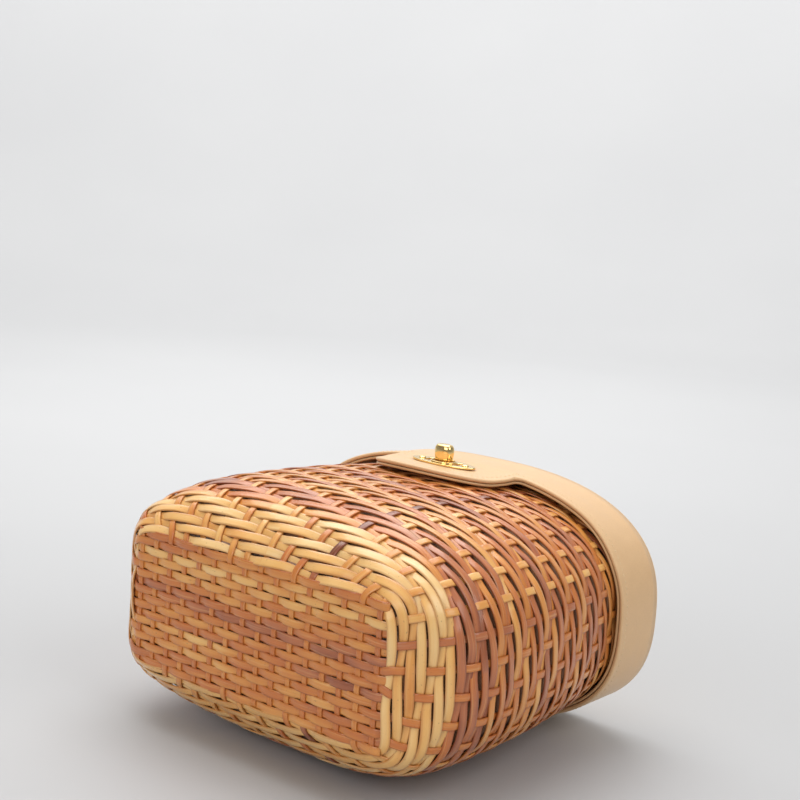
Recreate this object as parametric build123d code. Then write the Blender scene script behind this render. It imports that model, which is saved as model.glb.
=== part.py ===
"""A woven cane box bag with a leather lid, a wide leather tongue and a turn lock, lying on its back.

Each piece is drawn standing: X is the bag's right, -Y its front, Z runs from the base to the lid.
lay_down() then turns every piece onto the bag's back, so that Y runs from the base to the lid,
Z points up out of the bag's front, and the origin is under the middle of the bag. Sizes are in mm.
"""

import math
import os

from build123d import *

# Overall shape
bag_height = 157.0
lid_height = 30.0
lid_width = 181.0
lid_depth = 108.4
base_width = 138.0
base_depth = 57.0
belly_width = 186.0
belly_depth = 107.2
belly_height = 51.0

# Corner shape: 2 is an ellipse, a large number a rectangle
base_squareness = 11.0
side_squareness = 2.7
lid_squareness = 2.6
squareness_fade = 7.0
heel_roundness = 3.4

# How finely the shapes are drawn
ring_points = 48
wall_steps = 12
station_spacing = 1.5
tongue_steps = 24

# Basket
wall = 2.6
base_thickness = 3.0
rim_drop = 8.5
rim_lean = 2.6
lining_thickness = 0.8
binding_thickness = 1.2
binding_height = 8.0

# Lid
band_thickness = 1.4
band_lining_thickness = 0.8
top_thickness = 2.4
lid_lining_thickness = 0.8

# Tongue
tongue_width = 66.0
tongue_length = 37.0
tongue_thickness = 1.4
tongue_lining_thickness = 0.8
tongue_slack = 0.95
tongue_squareness = 2.3

# Turn lock
lock_drop = 11.0
lock_base_width = 30.0
lock_base_length = 10.0
lock_base_thickness = 1.0
lock_plate_width = 34.0
lock_plate_length = 12.5
lock_plate_thickness = 0.8
knob_width = 9.0
knob_length = 6.0
knob_height = 7.6
knob_round = 1.2
stem_diameter = 3.0
collar_diameter = 5.2
retainer_diameter = 6.4
retainer_thickness = 0.8
slot_clearance = 0.9
rivet_diameter = 2.0
rivet_head_diameter = 3.2
rivet_head_height = 0.6
rivet_inset = 3.0
plate_web = 1.0
window_length = 6.0

# Hinge strap
strap_width = 70.0
strap_length = 22.0
strap_thickness = 1.2

# Fits
lid_clearance = 1.8
cloth_gap = 0.3
sewn_gap = 0.2
running_gap = 0.05
hinge_gap = 0.5
cut_margin = 1.0

# Worked out from the sizes above
lid_edge = bag_height - lid_height
rim_height = bag_height - rim_drop
lock_height = lid_edge - lock_drop
lid_wall = band_thickness + sewn_gap + band_lining_thickness
mouth_width = lid_width - 2 * (lid_wall + lid_clearance)
mouth_depth = lid_depth - 2 * (lid_wall + lid_clearance)
cut_near = base_depth / 2
cut_far = lid_depth


def rise(height):
    """How far the wall has swollen from the base towards the belly, from 0 to 1."""
    return 1 - (1 - min(height / belly_height, 1)) ** heel_roundness


def fall(height):
    """How far the wall has drawn in above the belly, from 0 to 1 at the lid's edge."""
    return max(0, (min(height, lid_edge) - belly_height) / (lid_edge - belly_height)) ** 2


def lean(height):
    """How far the wall leans in above the lid's edge, so that the lid swings clear of the rim."""
    return rim_lean * max(0, height - lid_edge) / (rim_height - lid_edge)


def half_width(height):
    swollen = base_width + (belly_width - base_width) * rise(height)
    return (swollen - (belly_width - mouth_width) * fall(height)) / 2 - lean(height)


def half_depth(height):
    swollen = base_depth + (belly_depth - base_depth) * rise(height)
    return (swollen - (belly_depth - mouth_depth) * fall(height)) / 2 - lean(height)


def squareness(height):
    return side_squareness + (base_squareness - side_squareness) * math.exp(-height / squareness_fade)


def ring(a, b, power, height):
    """A closed level outline with half-width a and half-depth b."""
    points = []
    for i in range(ring_points):
        angle = 2 * math.pi * i / ring_points
        c = math.cos(angle)
        s = math.sin(angle)
        reach = (abs(c) ** power + abs(s) ** power) ** (-1 / power)
        points.append((a * reach * c, b * reach * s, height))
    return Wire([Edge.make_spline([Vector(*p) for p in points], periodic=True)])


def heights(low, high):
    """The heights that a wall is drawn through, from low to high, closest together at the base."""
    inner = [lid_edge * (i / wall_steps) ** station_spacing for i in range(wall_steps + 1)]
    inner = inner + [(lid_edge + rim_height) / 2]
    return [low] + [h for h in inner if low + cut_margin < h < high - cut_margin] + [high]


def wall_solid(inset, low, high):
    """Everything inside the basket's outer surface moved in by inset, between two heights."""
    rings = []
    for h in heights(low, high):
        rings.append(ring(half_width(h) - inset, half_depth(h) - inset, squareness(h), h))
    return Solid.make_loft(rings)


def lid_solid(inset, low, high):
    """Everything inside the lid's outer surface moved in by inset, between two heights."""
    a = lid_width / 2 - inset
    b = lid_depth / 2 - inset
    return extrude(Face(ring(a, b, lid_squareness, low)), high - low, dir=(0, 0, 1))


def across(sketch_face, near, far):
    """A level prism through the front wall, from near to far in front of the middle."""
    return Pos(0, -near, 0) * extrude(Plane.XZ * sketch_face, far - near)


def post(x, height, diameter, near, far):
    """A round pin that points out of the front."""
    return across(Pos(x, height) * Circle(diameter / 2), near, far)


# The front of the lock, measured out from the bag's middle
base_back = half_depth(lock_height - lock_base_length / 2) + sewn_gap
base_front = base_back + lock_base_thickness
tongue_back = base_front + cloth_gap
tongue_front = tongue_back + tongue_lining_thickness + sewn_gap + tongue_thickness
tongue_stack = cloth_gap + tongue_lining_thickness + sewn_gap + tongue_thickness
plate_back = tongue_front + sewn_gap
plate_front = plate_back + lock_plate_thickness
knob_back = plate_front + cloth_gap
inside = half_depth(lock_height + lock_base_length / 2) - wall - cloth_gap - lining_thickness
backplate_back = inside - cloth_gap - lock_base_thickness
slot_width = knob_width + 2 * slot_clearance
slot_length = knob_length + 2 * slot_clearance
rivet_reach = lock_base_width / 2 - rivet_inset
rivet_places = {"left": -rivet_reach, "right": rivet_reach}


# --- Basket -------------------------------------------------------------------------------


def rivet_holes():
    """The clearance holes of the lock's rivets, right through the front."""
    hole = rivet_diameter + 2 * running_gap
    return [post(x, lock_height, hole, cut_near, cut_far) for x in rivet_places.values()]


def retainer_hole():
    """The hole through the basket's front that the knob's retainer turns in."""
    return post(0, lock_height, retainer_diameter + 2 * cloth_gap, cut_near, cut_far)


def slot_hole():
    """The round-ended slot that the knob passes through, right through the front."""
    return across(Pos(0, lock_height) * SlotOverall(slot_width, slot_length), cut_near, cut_far)


def basket_base():
    return wall_solid(0, 0, base_thickness)


def basket_sides():
    shell = wall_solid(0, base_thickness, rim_height)
    hollow = wall_solid(wall, base_thickness - cut_margin, rim_height)
    hollow = hollow + extrude(hollow.faces().sort_by(Axis.Z)[-1], cut_margin)
    return shell - hollow - rivet_holes() - retainer_hole()


def basket_lining():
    low = base_thickness + cloth_gap
    outer = wall_solid(wall + cloth_gap, low, rim_height)
    inner = wall_solid(wall + cloth_gap + lining_thickness, low + lining_thickness, rim_height)
    inner = inner + extrude(inner.faces().sort_by(Axis.Z)[-1], cut_margin)
    return outer - inner - rivet_holes() - retainer_hole()


def rim_binding():
    """A leather strip folded over the rim: an outer leg, a top and an inner leg."""
    low = rim_height - binding_height
    top = rim_height + cloth_gap + binding_thickness
    cover = cloth_gap + binding_thickness
    depth = wall + lining_thickness + 2 * cloth_gap
    outer = wall_solid(-cover, low, top)
    hollow = wall_solid(depth + binding_thickness, low - cut_margin, top + cut_margin)
    groove = wall_solid(-cloth_gap, low - cut_margin, rim_height + cloth_gap)
    groove = groove - wall_solid(depth, low - 2 * cut_margin, top + 2 * cut_margin)
    return outer - hollow - groove


def hinge_strap():
    """A leather strap on the back of the basket. Its upper end turns into the lid at the hinge."""
    high = lid_edge - hinge_gap
    low = high - strap_length
    shell = wall_solid(-cloth_gap - strap_thickness, low, high)
    shell = shell - wall_solid(-cloth_gap, low - cut_margin, high + cut_margin)
    return shell & Pos(0, lid_depth / 2, (low + high) / 2) * Box(strap_width, lid_depth, strap_length + cut_margin)


def lock_base():
    """The plate on the basket's front, with the collar that the knob's stem turns in."""
    outline = Pos(0, lock_height) * SlotOverall(lock_base_width, lock_base_length)
    plate = across(outline, base_back, base_front)
    plate = plate + post(0, lock_height, collar_diameter, base_back, plate_front)
    plate = plate - rivet_holes()
    return plate - post(0, lock_height, stem_diameter + 2 * running_gap, cut_near, cut_far)


def lock_backplate():
    """The plate inside the basket that the base rivets clench onto."""
    outline = Pos(0, lock_height) * SlotOverall(lock_base_width, lock_base_length)
    plate = across(outline, backplate_back, backplate_back + lock_base_thickness)
    return plate - rivet_holes() - retainer_hole()


def base_rivet(x):
    shank = post(x, lock_height, rivet_diameter, backplate_back - rivet_head_height, base_front)
    tail = post(x, lock_height, rivet_head_diameter, backplate_back - rivet_head_height, backplate_back)
    return shank + tail


# --- Lid ----------------------------------------------------------------------------------


def lid_top():
    panel = lid_solid(0, bag_height - top_thickness, bag_height)
    return fillet(panel.faces().sort_by(Axis.Z)[-1].edges(), top_thickness * 0.6)


def lid_band():
    high = bag_height - top_thickness
    return lid_solid(0, lid_edge, high) - lid_solid(band_thickness, lid_edge - cut_margin, high + cut_margin)


def band_lining():
    high = bag_height - top_thickness
    outer = lid_solid(band_thickness + sewn_gap, lid_edge, high)
    inner = lid_solid(lid_wall, lid_edge - cut_margin, high + cut_margin)
    return outer - inner


def lid_lining():
    high = bag_height - top_thickness - sewn_gap
    inset = lid_wall + cloth_gap
    return lid_solid(inset, high - lid_lining_thickness, high)


# --- Tongue -------------------------------------------------------------------------------


def tongue_outline():
    """The tongue's rounded outline, seen from the front, with its top at the lid's edge."""
    high = lid_edge - cloth_gap
    points = []
    for i in range(tongue_steps + 1):
        angle = math.pi * i / tongue_steps
        c = math.cos(angle)
        s = math.sin(angle)
        x = tongue_width / 2 * math.copysign(abs(c) ** (2 / tongue_squareness), c)
        points.append((x, lid_edge - tongue_length * abs(s) ** (2 / tongue_squareness)))
    side = Spline([(x, min(z, high)) for x, z in points])
    return make_face(Wire([side, Line(side @ 1, side @ 0)]))


def tongue_surface(inset):
    """The solid under the tongue's outer surface: flush with the band, then lifted over the lock."""
    tip = lid_edge - tongue_length
    half_plate = lock_plate_length / 2
    reaches = {
        tip: half_depth(tip) + tongue_stack + tongue_slack,
        lock_height - half_plate: tongue_front,
        lock_height + half_plate: tongue_front,
        lid_edge: lid_depth / 2,
    }
    rings = []
    for height, reach in reaches.items():
        rings.append(ring(lid_width / 2 - inset, reach - inset, lid_squareness, height))
    return Solid.make_loft(rings, ruled=True)


def tongue_layer(near, far):
    """One leather layer of the tongue, between two depths under its outer surface."""
    layer = tongue_surface(near) - tongue_surface(far)
    layer = layer & across(tongue_outline(), cut_near, cut_far)
    return layer - slot_hole() - rivet_holes()


def tongue_outer():
    return tongue_layer(0, tongue_thickness)


def tongue_lining():
    near = tongue_thickness + sewn_gap
    return tongue_layer(near, near + tongue_lining_thickness)


def lock_plate():
    """The oval plate on the tongue, pierced for the knob, its two rivets and a window at each side."""
    outline = Pos(0, lock_height) * Ellipse(lock_plate_width / 2, lock_plate_length / 2)
    plate = across(outline, plate_back, plate_front) - slot_hole() - rivet_holes()
    inner = slot_width / 2 + plate_web
    outer = rivet_reach - rivet_head_diameter / 2 - plate_web
    window = Rot(0, 0, 90) * SlotOverall(window_length, outer - inner)
    for side in (-1, 1):
        place = Pos(side * (inner + outer) / 2, lock_height)
        plate = plate - across(place * window, cut_near, cut_far)
    return plate


def plate_rivet(x):
    """A rivet that holds the plate to the tongue's leather."""
    drop = lid_depth / 2 * (1 - (1 - abs(2 * x / lid_width) ** lid_squareness) ** (1 / lid_squareness))
    back = tongue_front - tongue_thickness - drop
    shank = post(x, lock_height, rivet_diameter, back, plate_front)
    head = post(x, lock_height, rivet_head_diameter, plate_front, plate_front + rivet_head_height)
    return shank + head


# --- Turn knob ----------------------------------------------------------------------------


def turn_knob():
    """An oval knob on a stem that runs through the collar."""
    outline = Pos(0, lock_height) * Ellipse(knob_width / 2, knob_length / 2)
    knob = across(outline, knob_back, knob_back + knob_height)
    knob = fillet(knob.edges().filter_by(GeomType.ELLIPSE), knob_round)
    stem_back = base_back - running_gap - retainer_thickness
    return knob + post(0, lock_height, stem_diameter, stem_back, knob_back + knob_height / 2)


def knob_retainer():
    """The washer clenched on the stem's inner end, which keeps the knob in its collar."""
    front = base_back - running_gap
    washer = post(0, lock_height, retainer_diameter, front - retainer_thickness, front)
    return washer - post(0, lock_height, stem_diameter, cut_near, cut_far)


def lay_down(shape):
    return Pos(0, -bag_height / 2, lid_depth / 2) * Rot(-90, 0, 0) * shape


pieces = {
    "basket_base": basket_base(),
    "basket_sides": basket_sides(),
    "basket_lining": basket_lining(),
    "rim_binding": rim_binding(),
    "hinge_strap": hinge_strap(),
    "lock_base": lock_base(),
    "lock_backplate": lock_backplate(),
    "lid_top": lid_top(),
    "lid_band": lid_band(),
    "band_lining": band_lining(),
    "lid_lining": lid_lining(),
    "tongue_outer": tongue_outer(),
    "tongue_lining": tongue_lining(),
    "lock_plate": lock_plate(),
    "turn_knob": turn_knob(),
    "knob_retainer": knob_retainer(),
}
for side_name, place in rivet_places.items():
    pieces["base_rivet_" + side_name] = base_rivet(place)
    pieces["plate_rivet_" + side_name] = plate_rivet(place)

os.makedirs("parts", exist_ok=True)
for name, piece in pieces.items():
    export_step(lay_down(piece), "parts/" + name + ".step")
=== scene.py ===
"""Visual model of a woven cane box bag that lies on its back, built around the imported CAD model.

Metres throughout. +X is the bag's right, +Y runs from the woven base to the lid, +Z comes out of
the bag's front. The cane is woven strip by strip, and the leather is modelled sheet by sheet.
"""

import math

import bpy
import numpy as np
from mathutils import Matrix, Vector


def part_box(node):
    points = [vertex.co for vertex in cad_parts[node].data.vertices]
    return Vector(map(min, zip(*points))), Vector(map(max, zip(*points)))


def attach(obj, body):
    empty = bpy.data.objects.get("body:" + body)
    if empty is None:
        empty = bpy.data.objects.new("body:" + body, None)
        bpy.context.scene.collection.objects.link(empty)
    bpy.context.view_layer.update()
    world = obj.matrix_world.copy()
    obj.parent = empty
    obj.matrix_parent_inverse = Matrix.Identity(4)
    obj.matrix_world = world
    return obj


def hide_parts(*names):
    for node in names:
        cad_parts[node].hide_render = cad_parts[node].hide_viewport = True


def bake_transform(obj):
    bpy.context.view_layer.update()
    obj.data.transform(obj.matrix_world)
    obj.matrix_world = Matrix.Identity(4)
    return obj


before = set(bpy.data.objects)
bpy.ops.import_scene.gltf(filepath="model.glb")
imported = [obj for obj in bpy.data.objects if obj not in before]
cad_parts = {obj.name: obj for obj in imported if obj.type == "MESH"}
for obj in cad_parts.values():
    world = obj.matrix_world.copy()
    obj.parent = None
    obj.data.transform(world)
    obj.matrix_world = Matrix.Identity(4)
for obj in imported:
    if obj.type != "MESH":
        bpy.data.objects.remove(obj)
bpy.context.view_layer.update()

MM = 0.001
SEED = 7
rng = np.random.default_rng(SEED)

# ---- Places and sizes ----

base_low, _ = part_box("basket_base")
sides_low, sides_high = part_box("basket_sides")
band_low, band_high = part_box("lid_band")
_, top_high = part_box("lid_top")
tongue_low, tongue_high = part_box("tongue_outer")
plate_low, plate_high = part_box("lock_plate")
knob_low, knob_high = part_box("turn_knob")
strap_low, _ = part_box("hinge_strap")

BASE_Y = base_low.y
LID_EDGE = band_low.y - BASE_Y
RIM = sides_high.y - BASE_Y
LID_TOP = top_high.y - BASE_Y
TOP_SEAM = band_high.y - BASE_Y
MID_Z = (band_low.z + band_high.z) / 2
LID_A = (band_high.x - band_low.x) / 2
LID_C = (band_high.z - band_low.z) / 2
LID_POWER = 2.6
LOCK_H = (plate_low.y + plate_high.y) / 2 - BASE_Y

# The basket's outline, which swells from a small square base to a round-cornered belly
BASE_A, BASE_C = 69.0 * MM, 28.5 * MM
BELLY_A = (sides_high.x - sides_low.x) / 2
BELLY_C = (sides_high.z - sides_low.z) / 2
BELLY_H = 51.0 * MM
MOUTH_A, MOUTH_C = LID_A - 4.2 * MM, LID_C - 4.2 * MM
RIM_LEAN = 2.6 * MM
SIDE_POWER, BASE_POWER, POWER_FADE = 2.7, 11.0, 7.0 * MM
HEEL_POWER = 3.4


def reach_out(h, base, belly, mouth):
    """Half the basket's width or depth at a height: it swells, draws in, then leans in at the rim."""
    swell = 1 - (1 - np.minimum(h / BELLY_H, 1)) ** HEEL_POWER
    draw = np.maximum(0, (np.minimum(h, LID_EDGE) - BELLY_H) / (LID_EDGE - BELLY_H)) ** 2
    lean = RIM_LEAN * np.maximum(0, h - LID_EDGE) / (RIM - LID_EDGE)
    return base + (belly - base) * swell - (belly - mouth) * draw - lean


def half_width(h):
    return reach_out(h, BASE_A, BELLY_A, MOUTH_A)


def half_depth(h):
    return reach_out(h, BASE_C, BELLY_C, MOUTH_C)


def power(h):
    return SIDE_POWER + (BASE_POWER - SIDE_POWER) * np.exp(-h / POWER_FADE)


def unit(vectors):
    return vectors / np.linalg.norm(vectors, axis=-1, keepdims=True)


def full_turn(count):
    """Angles round a circle, without the last one, which is the first again."""
    return np.linspace(0, 2 * np.pi, count, endpoint=False)


def run_length(points):
    """The distance along a path at each of its points."""
    steps = np.linalg.norm(np.diff(points, axis=0), axis=1)
    return np.concatenate([[0], np.cumsum(steps)])


def quarter(k, steps):
    """The k-th of some even steps through a right angle."""
    return math.pi / 2 * k / steps


def fade(value, low, high):
    """0 up to low, 1 from high, and smooth between them."""
    s = np.clip((value - low) / (high - low), 0, 1)
    return s * s * (3 - 2 * s)


def outline(a, c, n, angle):
    """x and z of a superellipse at an angle from the front, turning towards the bag's right."""
    s, k = np.sin(angle), np.cos(angle)
    reach = (np.abs(s) ** n + np.abs(k) ** n) ** (-1 / n)
    return a * reach * s, c * reach * k


class Wall:
    """The basket's outer surface by t, the share of the way round from the front, and height h."""

    HEEL_TOP = 20.0 * MM  # below this, the outline changes fast, and the table has close rows
    T_STEP, H_STEP = 0.002, 0.6 * MM

    def __init__(self):
        low, high = np.linspace(0, self.HEEL_TOP, 21), np.linspace(self.HEEL_TOP + 2 * MM, RIM, 60)
        self.heights = np.concatenate([low, high])
        angle = np.linspace(0, 2 * np.pi, 1441)
        self.t = np.linspace(0, 1, 721)
        rows = []
        for h in self.heights:
            length = run_length(np.stack(outline(half_width(h), half_depth(h), power(h), angle), -1))
            rows.append(np.interp(self.t, length / length[-1], angle))
        self.table = np.array(rows)

    def place(self, t, h):
        """Points of the outer surface, with h kept between the base and the rim."""
        t, h = np.broadcast_arrays(np.asarray(t, float), np.asarray(h, float))
        up = np.clip(h, 0, RIM)
        i = np.clip(np.searchsorted(self.heights, up) - 1, 0, len(self.heights) - 2)
        f = (up - self.heights[i]) / (self.heights[i + 1] - self.heights[i])
        col = (t - np.floor(t)) * (len(self.t) - 1)
        j = np.clip(np.floor(col).astype(int), 0, len(self.t) - 2)
        g = col - j
        low = self.table[i, j] * (1 - g) + self.table[i, j + 1] * g
        high = self.table[i + 1, j] * (1 - g) + self.table[i + 1, j + 1] * g
        angle = low * (1 - f) + high * f
        x, z = outline(half_width(up), half_depth(up), power(up), angle)
        return np.stack([x, BASE_Y + up, MID_Z + z], -1)

    def frame(self, t, h):
        """Points of the outer surface and its outward normals."""
        around = self.place(t + self.T_STEP, h) - self.place(t - self.T_STEP, h)
        above, below = np.minimum(h + self.H_STEP, RIM), np.maximum(h - self.H_STEP, 0)
        along = self.place(t, above) - self.place(t, below)
        return self.place(t, h), -unit(np.cross(unit(along), unit(around)))


wall = Wall()

# How far up the wall a point is, measured along the middle of its front and of its right end
levels = np.linspace(0, RIM, 400)
front_steps = np.hypot(np.gradient(half_depth(levels)), np.gradient(levels))
end_steps = np.hypot(np.gradient(half_width(levels)), np.gradient(levels))
reaches = np.concatenate([[0], np.cumsum(((front_steps + end_steps) / 2)[1:])])


def height_at(reach):
    return np.interp(reach, reaches, levels)


# ---- Mesh helpers ----


def new_object(name, verts, faces, smooth=True):
    mesh = bpy.data.meshes.new(name)
    verts = np.asarray(verts, float).reshape(-1, 3).tolist()
    mesh.from_pydata(verts, [], [tuple(map(int, f)) for f in faces])
    mesh.validate()
    mesh.polygons.foreach_set("use_smooth", [smooth] * len(mesh.polygons))
    obj = bpy.data.objects.new(name, mesh)
    bpy.context.scene.collection.objects.link(obj)
    return obj


def grid_faces(n, m, closed_n, closed_m, start=0, flip=False):
    """Quads over an n by m grid of points, row by row."""
    i = np.arange(n if closed_n else n - 1)
    j = np.arange(m if closed_m else m - 1)
    i, j = np.meshgrid(i, j, indexing="ij")
    a = i * m + j
    b = i * m + (j + 1) % m
    c = ((i + 1) % n) * m + (j + 1) % m
    d = ((i + 1) % n) * m + j
    quads = np.stack([a, b, c, d], -1).reshape(-1, 4) + start
    return quads[:, ::-1] if flip else quads


def set_attribute(obj, name, values):
    layer = obj.data.attributes.new(name, "FLOAT", "POINT")
    layer.data.foreach_set("value", np.asarray(values, np.float32))


# ---- Materials ----


class Nodes:
    """A short way to write a material's node tree."""

    def __init__(self, name):
        self.material = bpy.data.materials.new(name)
        self.material.use_nodes = True
        self.tree = self.material.node_tree
        self.tree.nodes.clear()
        self.out = self.tree.nodes.new("ShaderNodeOutputMaterial")
        self.shader = self.tree.nodes.new("ShaderNodeBsdfPrincipled")
        self.tree.links.new(self.shader.outputs[0], self.out.inputs[0])

    def put(self, target, value):
        if isinstance(value, bpy.types.NodeSocket):
            self.tree.links.new(value, target)
        else:
            target.default_value = value

    def node(self, kind, inputs=None, **settings):
        n = self.tree.nodes.new(kind)
        for key, value in settings.items():
            setattr(n, key, value)
        for key, value in (inputs or {}).items():
            self.put(n.inputs[key], value)
        return n

    def attribute(self, name):
        return self.node("ShaderNodeAttribute", attribute_name=name).outputs["Fac"]

    def math(self, operation, a, b=0.0):
        return self.node("ShaderNodeMath", {0: a, 1: b}, operation=operation).outputs[0]

    def times(self, a, b):
        return self.math("MULTIPLY", a, b)

    def plus(self, a, b):
        return self.math("ADD", a, b)

    def where(self):
        return self.node("ShaderNodeTexCoord").outputs["Object"]

    def noise(self, vector, scale, detail=3.0, rough=0.5):
        inputs = {"Vector": vector, "Scale": scale, "Detail": detail, "Roughness": rough}
        return self.node("ShaderNodeTexNoise", inputs).outputs["Fac"]

    def ramp(self, value, stops):
        n = self.node("ShaderNodeValToRGB", {0: value})
        elements = n.color_ramp.elements
        while len(elements) < len(stops):
            elements.new(0.5)
        for e, (place, colour) in zip(elements, stops):
            e.position = place
            e.color = (*colour, 1)
        return n.outputs[0]

    def span(self, value, low, high, to_low=0.0, to_high=1.0):
        inputs = {0: value, 1: low, 2: high, 3: to_low, 4: to_high}
        return self.node("ShaderNodeMapRange", inputs).outputs[0]

    def mix(self, factor, a, b, blend_type="MIX"):
        n = self.node("ShaderNodeMix", data_type="RGBA", blend_type=blend_type)
        self.put(n.inputs[0], factor)
        self.put(n.inputs[6], a)
        self.put(n.inputs[7], b)
        return n.outputs[2]

    def bump(self, height, strength, distance):
        inputs = {"Strength": strength, "Distance": distance, "Height": height}
        return self.node("ShaderNodeBump", inputs).outputs[0]

    def finish(self, **inputs):
        for key, value in inputs.items():
            self.put(self.shader.inputs[key.replace("_", " ")], value)
        return self.material


def cane_material():
    """Split cane: straw to red-brown by strip, with fibres along it, painted shade along each strip's edges
    and a varnished surface.
    """
    n = Nodes("cane")
    tone, along, across = n.attribute("tone"), n.attribute("along"), n.attribute("across")
    seed = n.attribute("seed")

    def grain(lengthwise, crosswise, detail, rough=0.5):
        """Noise stretched along the strip, from the number of changes in a metre each way."""
        inputs = {0: n.times(along, lengthwise), 1: n.times(across, crosswise), 2: seed}
        return n.noise(n.node("ShaderNodeCombineXYZ", inputs).outputs[0], 1.0, detail, rough)

    def around_zero(value, size):
        return n.times(n.math("SUBTRACT", value, 0.5), size)

    fibre = grain(26.0, 2600.0, 4.0, 0.6)
    streak = grain(9.0, 320.0, 2.0)
    patch = grain(38.0, 30.0, 2.0)
    shift = n.plus(around_zero(streak, 0.42), around_zero(patch, 0.42))
    shift = n.plus(shift, around_zero(fibre, 0.16))
    colour = n.ramp(n.plus(tone, shift), [
        (0.00, (0.88, 0.58, 0.25)),
        (0.20, (0.85, 0.47, 0.145)),
        (0.38, (0.72, 0.29, 0.062)),
        (0.55, (0.59, 0.175, 0.036)),
        (0.70, (0.48, 0.155, 0.060)),
        (0.86, (0.27, 0.065, 0.022)),
        (1.00, (0.12, 0.03, 0.012)),
    ])
    # Painted shade: each strip is darkened towards its two long edges, where it meets its neighbours.
    from_middle_mm = n.math("ABSOLUTE", n.times(across, 1 / MM))
    painted_edge_shade = n.span(from_middle_mm, 0.95, 1.75, 0.0, 0.55)
    colour = n.mix(painted_edge_shade, colour, (0.50, 0.30, 0.22, 1), "MULTIPLY")
    speck = n.span(grain(900.0, 1500.0, 1.0), 0.70, 0.78)
    colour = n.mix(n.times(speck, 0.45), colour, (0.16, 0.07, 0.03, 1))
    pale = n.span(grain(45.0, 1500.0, 2.0), 0.56, 0.70, 0.0, 0.26)
    colour = n.mix(pale, colour, (0.90, 0.56, 0.24, 1))
    rough = n.span(fibre, 0.3, 0.7, 0.24, 0.42)
    normal = n.bump(n.plus(n.times(fibre, 0.7), n.times(streak, 0.6)), 0.55, 0.25 * MM)
    return n.finish(Base_Color=colour, Roughness=rough, Normal=normal, Coat_Weight=0.45,
                    Coat_Roughness=0.16, Specular_IOR_Level=0.45)


def leather_material(name, light, dark, gloss):
    """Smooth calf leather: a fine pebble and soft changes of colour."""
    n = Nodes(name)
    where = n.where()
    cells = n.node("ShaderNodeTexVoronoi", {"Vector": where, "Scale": 1700.0, "Randomness": 1.0})
    pebble = cells.outputs["Distance"]
    fine, broad, mottle = n.noise(where, 2600.0, 3.0), n.noise(where, 24.0, 3.0), n.noise(where, 160.0, 4.0)
    value = n.plus(n.times(broad, 0.55), n.times(mottle, 0.45))
    colour = n.ramp(value, [(0.30, dark), (0.70, light)])
    colour = n.mix(n.span(pebble, 0.55, 0.9, 0.0, 0.10), colour, (*[v * 0.6 for v in dark], 1))
    normal = n.bump(n.plus(n.times(pebble, -0.7), n.times(fine, 0.5)), 0.22, 0.12 * MM)
    rough = n.span(mottle, 0.3, 0.7, gloss - 0.05, gloss + 0.09)
    return n.finish(Base_Color=colour, Roughness=rough, Normal=normal, Specular_IOR_Level=0.45,
                    Sheen_Weight=0.06)


THREADS = 1400.0  # half waves of the cloth's weave in a metre


def cloth_material(name, light, dark):
    """Plain cloth, woven from threads along Y and across it."""
    n = Nodes(name)
    where = n.where()
    x, y, z = n.node("ShaderNodeSeparateXYZ", {0: where}).outputs
    warp = n.math("SINE", n.times(n.plus(x, z), THREADS * math.pi))
    weft = n.math("SINE", n.times(y, THREADS * math.pi))
    weave = n.times(warp, weft)
    slub = n.noise(where, 300.0, 3.0)
    colour = n.ramp(n.plus(n.times(weave, 0.18), slub), [(0.3, dark), (0.75, light)])
    normal = n.bump(weave, 0.35, 0.15 * MM)
    rough = n.span(slub, 0.3, 0.7, 0.78, 0.92)
    return n.finish(Base_Color=colour, Roughness=rough, Normal=normal, Sheen_Weight=0.2)


def gold_material():
    """Polished pale gold plating, with faint brushing and dulled spots."""
    n = Nodes("pale_gold")
    where = n.where()
    stretched = n.node("ShaderNodeMapping", {"Vector": where, "Scale": (900.0, 120.0, 900.0)}).outputs[0]
    brush = n.noise(stretched, 1.0, 2.0)
    dull = n.noise(where, 420.0, 3.0)
    colour = n.ramp(dull, [(0.3, (0.93, 0.64, 0.25)), (0.7, (0.96, 0.72, 0.34))])
    rough = n.plus(n.span(dull, 0.35, 0.75, 0.07, 0.13), n.times(brush, 0.04))
    normal = n.bump(brush, 0.03, 0.02 * MM)
    return n.finish(Base_Color=colour, Metallic=1.0, Roughness=rough, Normal=normal)


def thread_material():
    """Twisted thread, a little paler than the leather."""
    n = Nodes("thread")
    twist = n.noise(n.where(), 3000.0, 2.0)
    colour = n.ramp(twist, [(0.3, (0.70, 0.50, 0.28)), (0.7, (0.84, 0.64, 0.40))])
    rough = n.span(twist, 0.3, 0.7, 0.45, 0.6)
    return n.finish(Base_Color=colour, Roughness=rough, Normal=n.bump(twist, 0.5, 0.1 * MM))


def floor_material():
    """A matte pale studio surface."""
    n = Nodes("floor")
    where = n.where()
    cloud = n.noise(where, 2.2, 2.0)
    colour = n.ramp(cloud, [(0.3, (0.483, 0.486, 0.492)), (0.7, (0.499, 0.502, 0.507))])
    return n.finish(Base_Color=colour, Roughness=0.55, Specular_IOR_Level=0.25)


cane = cane_material()
leather = leather_material("beige_leather", (0.77, 0.51, 0.275), (0.71, 0.455, 0.235), 0.42)
edge_leather = leather_material("beige_leather_inner", (0.70, 0.45, 0.23), (0.62, 0.38, 0.18), 0.36)
# The basket lining's dark reddish brown is partly painted shade: it sets how dark the gaps between the cane
# strips look.
lining_cloth = cloth_material("brown_cloth", (0.34, 0.16, 0.075), (0.22, 0.10, 0.045))
lid_cloth = cloth_material("lid_cloth", (0.42, 0.29, 0.17), (0.33, 0.22, 0.12))
gold = gold_material()
thread = thread_material()


def assign(obj, material):
    obj.data.materials.clear()
    obj.data.materials.append(material)


# ---- Cane strips ----

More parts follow.
